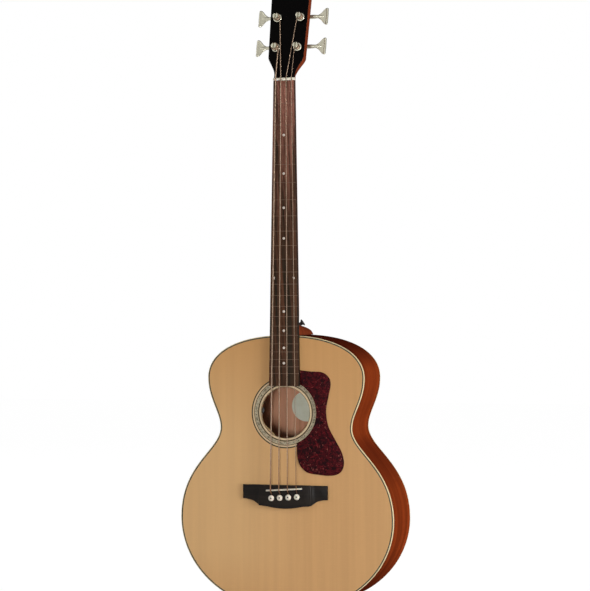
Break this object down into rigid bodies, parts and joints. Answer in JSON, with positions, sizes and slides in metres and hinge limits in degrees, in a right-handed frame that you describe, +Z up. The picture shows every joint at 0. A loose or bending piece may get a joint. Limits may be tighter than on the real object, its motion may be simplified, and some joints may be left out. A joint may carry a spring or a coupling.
{
  "type": "acoustic bass guitar",
  "caption": "Fretless acoustic bass guitar with worm-gear tuners, pinned bridge, pickguard and sound-hole controls.",
  "frame": {"origin": "on the centre line, level with the nut's front edge, in the plane of the soundboard's face", "axes": "+Z up the neck towards the headstock, the front faces -Y, +X to the treble side"},
  "size_m": [0.43, 0.1491, 1.2191],
  "materials": {
    "spruce": "gloss lacquer",
    "mahogany": "gloss lacquer",
    "bare_mahogany": "bare",
    "rosewood": "oiled satin",
    "bridge_wood": "oiled satin",
    "black_veneer": "gloss lacquer",
    "cream": "gloss",
    "bone": "polished",
    "pearl": "gloss",
    "tortoise": "gloss",
    "brace_wood": "bare",
    "nickel": "polished",
    "brass": "bare",
    "bronze": "wound",
    "steel": "bare",
    "black_plastic": "satin",
    "paper": "matte",
    "fabric": "woven"
  },
  "bodies": {
    "guitar": {"soundboard": "spruce", "back_panel": "mahogany", "side_bass": "mahogany", "side_treble": "mahogany", "top_binding": "cream", "back_binding": "cream", "top_lining_bass": "brace_wood", "top_lining_treble": "brace_wood", "back_lining_bass": "brace_wood", "back_lining_treble": "brace_wood", "neck_block": "bare_mahogany", "tail_block": "bare_mahogany", "x_brace_bass": "brace_wood", "x_brace_treble": "brace_wood", "face_brace": "brace_wood", "tone_bar_upper": "brace_wood", "tone_bar_lower": "brace_wood", "bridge_plate": "bare_mahogany", "rosette": "pearl", "pickguard": "tortoise", "bridge": "bridge_wood", "saddle": "bone", "saddle_pickup": "brass", "neck": "mahogany", "fingerboard": "rosewood", "nut": "bone", "headstock_veneer": "black_veneer", "truss_rod": "steel", "bridge_pin_e": "cream", "string_e": "bronze", "tuner_bushing_e": "nickel", "tuner_plate_e": "nickel", "bridge_pin_a": "cream", "string_a": "bronze", "tuner_bushing_a": "nickel", "tuner_plate_a": "nickel", "bridge_pin_d": "cream", "string_d": "bronze", "tuner_bushing_d": "nickel", "tuner_plate_d": "nickel", "bridge_pin_g": "cream", "string_g": "bronze", "tuner_bushing_g": "nickel", "tuner_plate_g": "nickel", "strap_button": "black_plastic", "end_jack": "nickel", "control_housing": "black_plastic", "label": "paper", "battery_pouch": "fabric"},
    "key_e": {"tuner_key_e": "nickel"},
    "post_e": {"tuner_post_e": "nickel"},
    "key_a": {"tuner_key_a": "nickel"},
    "post_a": {"tuner_post_a": "nickel"},
    "key_d": {"tuner_key_d": "nickel"},
    "post_d": {"tuner_post_d": "nickel"},
    "key_g": {"tuner_key_g": "nickel"},
    "post_g": {"tuner_post_g": "nickel"},
    "volume_control": {"volume_wheel": "black_plastic"},
    "tone_control": {"tone_wheel": "black_plastic"},
    "rod_adjuster": {"truss_rod_nut": "steel"}
  },
  "joints": [
    {"name": "key_turn_e", "type": "hinge", "parent": "guitar", "child": "key_e", "pos_m": [-0.0218, 0.04409, 0.06837], "axis": [1, 0, 0], "continuous": true},
    {"name": "post_turn_e", "type": "hinge", "parent": "guitar", "child": "post_e", "pos_m": [-0.0218, 0.01607, 0.06556], "axis": [0, 0.9703, -0.2419], "continuous": true},
    {"name": "key_turn_a", "type": "hinge", "parent": "guitar", "child": "key_a", "pos_m": [-0.0232, 0.0588, 0.12736], "axis": [1, 0, 0], "continuous": true},
    {"name": "post_turn_a", "type": "hinge", "parent": "guitar", "child": "post_a", "pos_m": [-0.0232, 0.03078, 0.12455], "axis": [0, 0.9703, -0.2419], "continuous": true},
    {"name": "key_turn_d", "type": "hinge", "parent": "guitar", "child": "key_d", "pos_m": [0.0232, 0.0588, 0.12736], "axis": [1, 0, 0], "continuous": true},
    {"name": "post_turn_d", "type": "hinge", "parent": "guitar", "child": "post_d", "pos_m": [0.0232, 0.03078, 0.12455], "axis": [0, 0.9703, -0.2419], "continuous": true},
    {"name": "key_turn_g", "type": "hinge", "parent": "guitar", "child": "key_g", "pos_m": [0.0218, 0.04409, 0.06837], "axis": [1, 0, 0], "continuous": true},
    {"name": "post_turn_g", "type": "hinge", "parent": "guitar", "child": "post_g", "pos_m": [0.0218, 0.01607, 0.06556], "axis": [0, 0.9703, -0.2419], "continuous": true},
    {"name": "volume_turn", "type": "hinge", "parent": "guitar", "child": "volume_control", "pos_m": [-0.0525, 0.0085, -0.61782], "axis": [0, 1, 0], "range_deg": [-135, 135]},
    {"name": "tone_turn", "type": "hinge", "parent": "guitar", "child": "tone_control", "pos_m": [-0.0525, 0.0085, -0.63282], "axis": [0, 1, 0], "range_deg": [-135, 135]},
    {"name": "truss_rod_turn", "type": "hinge", "parent": "guitar", "child": "rod_adjuster", "pos_m": [0, 0.0084, -0.55356], "axis": [0, 0, 1], "range_deg": [-180, 180]}
  ],
  "couplings": [
    {"joint": "post_turn_e", "follows": "key_turn_e", "ratio": -0.0625},
    {"joint": "post_turn_a", "follows": "key_turn_a", "ratio": -0.0625},
    {"joint": "post_turn_d", "follows": "key_turn_d", "ratio": -0.0625},
    {"joint": "post_turn_g", "follows": "key_turn_g", "ratio": -0.0625}
  ]
}
